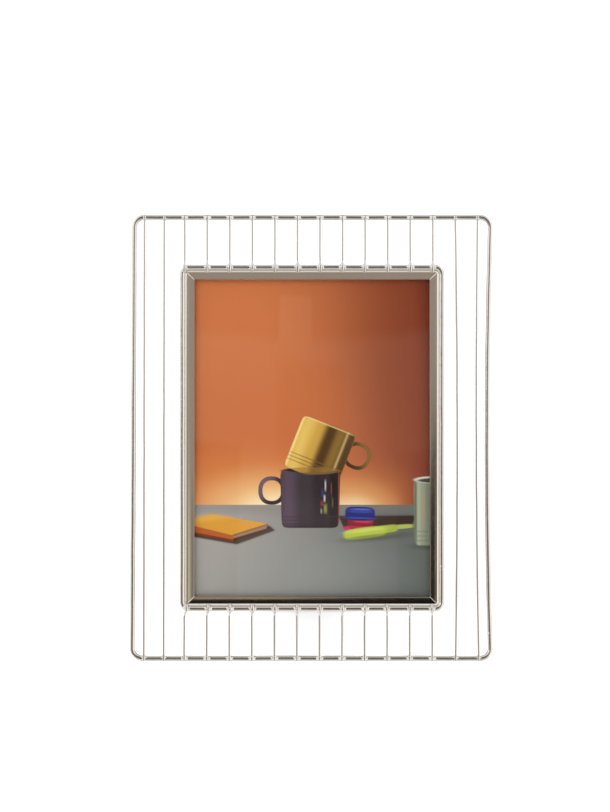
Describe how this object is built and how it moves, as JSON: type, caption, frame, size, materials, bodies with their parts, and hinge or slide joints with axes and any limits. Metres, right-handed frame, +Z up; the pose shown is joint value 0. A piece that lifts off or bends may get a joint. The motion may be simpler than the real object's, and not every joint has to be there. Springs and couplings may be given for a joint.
{
  "type": "photo frame",
  "caption": "Tabletop photo frame: a mitred metal moulding held by a wire ring inside a larger wire loop, joined by thin welded bars, with a hinged easel leg behind.",
  "frame": {"origin": "middle of the footprint of the standing frame, on the surface it stands on", "axes": "+X to the right seen from the front, +Y backwards, +Z up; the picture faces -Y and leans back 15 degrees"},
  "size_m": [0.2218, 0.1078, 0.2651],
  "materials": {
    "loop_plating": "bright nickel plate over welded steel wire",
    "bar_plating": "bright nickel plate over thin steel wire",
    "moulding_plating": "bright warm nickel plate over folded steel sheet",
    "clear_glass": "clear float glass with ground edges",
    "photo_paper": "glossy resin-coated photo print",
    "card": "plain grey-brown paperboard",
    "covered_board": "hardboard covered in black grained paper",
    "zinc_steel": "zinc-plated pressed steel",
    "rivet_steel": "bright domed rivets"
  },
  "bodies": {
    "frame": {"outer_wire_loop": "loop_plating", "inner_wire_loop": "loop_plating", "side_wire_left_outer": "bar_plating", "side_wire_left_inner": "bar_plating", "side_wire_right_inner": "bar_plating", "side_wire_right_outer": "bar_plating", "top_bar_01": "bar_plating", "top_bar_02": "bar_plating", "top_bar_03": "bar_plating", "top_bar_04": "bar_plating", "top_bar_05": "bar_plating", "top_bar_06": "bar_plating", "top_bar_07": "bar_plating", "top_bar_08": "bar_plating", "top_bar_09": "bar_plating", "top_bar_10": "bar_plating", "top_bar_11": "bar_plating", "top_bar_12": "bar_plating", "bottom_bar_01": "bar_plating", "bottom_bar_02": "bar_plating", "bottom_bar_03": "bar_plating", "bottom_bar_04": "bar_plating", "bottom_bar_05": "bar_plating", "bottom_bar_06": "bar_plating", "bottom_bar_07": "bar_plating", "bottom_bar_08": "bar_plating", "bottom_bar_09": "bar_plating", "bottom_bar_10": "bar_plating", "bottom_bar_11": "bar_plating", "bottom_bar_12": "bar_plating", "left_rail": "moulding_plating", "top_rail": "moulding_plating", "right_rail": "moulding_plating", "bottom_rail": "moulding_plating", "glass_pane": "clear_glass", "photo_print": "photo_paper", "backing_card": "card", "backboard": "covered_board", "hinge_leaf_fixed": "zinc_steel", "hinge_pin": "zinc_steel", "hinge_rivets_fixed": "rivet_steel", "turn_button_rivets": "rivet_steel"},
    "leg": {"leg_board": "covered_board", "hinge_leaf_moving": "zinc_steel", "hinge_rivets_moving": "rivet_steel"},
    "turn_button_lower_left_latch": {"turn_button_lower_left": "zinc_steel"},
    "turn_button_lower_right_latch": {"turn_button_lower_right": "zinc_steel"},
    "turn_button_upper_left_latch": {"turn_button_upper_left": "zinc_steel"},
    "turn_button_upper_right_latch": {"turn_button_upper_right": "zinc_steel"}
  },
  "joints": [
    {"name": "easel_leg_hinge", "type": "hinge", "parent": "frame", "child": "leg", "pos_m": [0, 0.00332, 0.17704], "axis": [-1, 0, 0], "range_deg": [0, 30]},
    {"name": "turn_button_lower_left_swivel", "type": "hinge", "parent": "frame", "child": "turn_button_lower_left_latch", "pos_m": [-0.064, -0.02433, 0.08278], "axis": [0, 0.9659, -0.2588], "continuous": true},
    {"name": "turn_button_lower_right_swivel", "type": "hinge", "parent": "frame", "child": "turn_button_lower_right_latch", "pos_m": [0.064, -0.02433, 0.08278], "axis": [0, 0.9659, -0.2588], "continuous": true},
    {"name": "turn_button_upper_left_swivel", "type": "hinge", "parent": "frame", "child": "turn_button_upper_left_latch", "pos_m": [-0.064, 0.00155, 0.17938], "axis": [0, 0.9659, -0.2588], "continuous": true},
    {"name": "turn_button_upper_right_swivel", "type": "hinge", "parent": "frame", "child": "turn_button_upper_right_latch", "pos_m": [0.064, 0.00155, 0.17938], "axis": [0, 0.9659, -0.2588], "continuous": true}
  ]
}
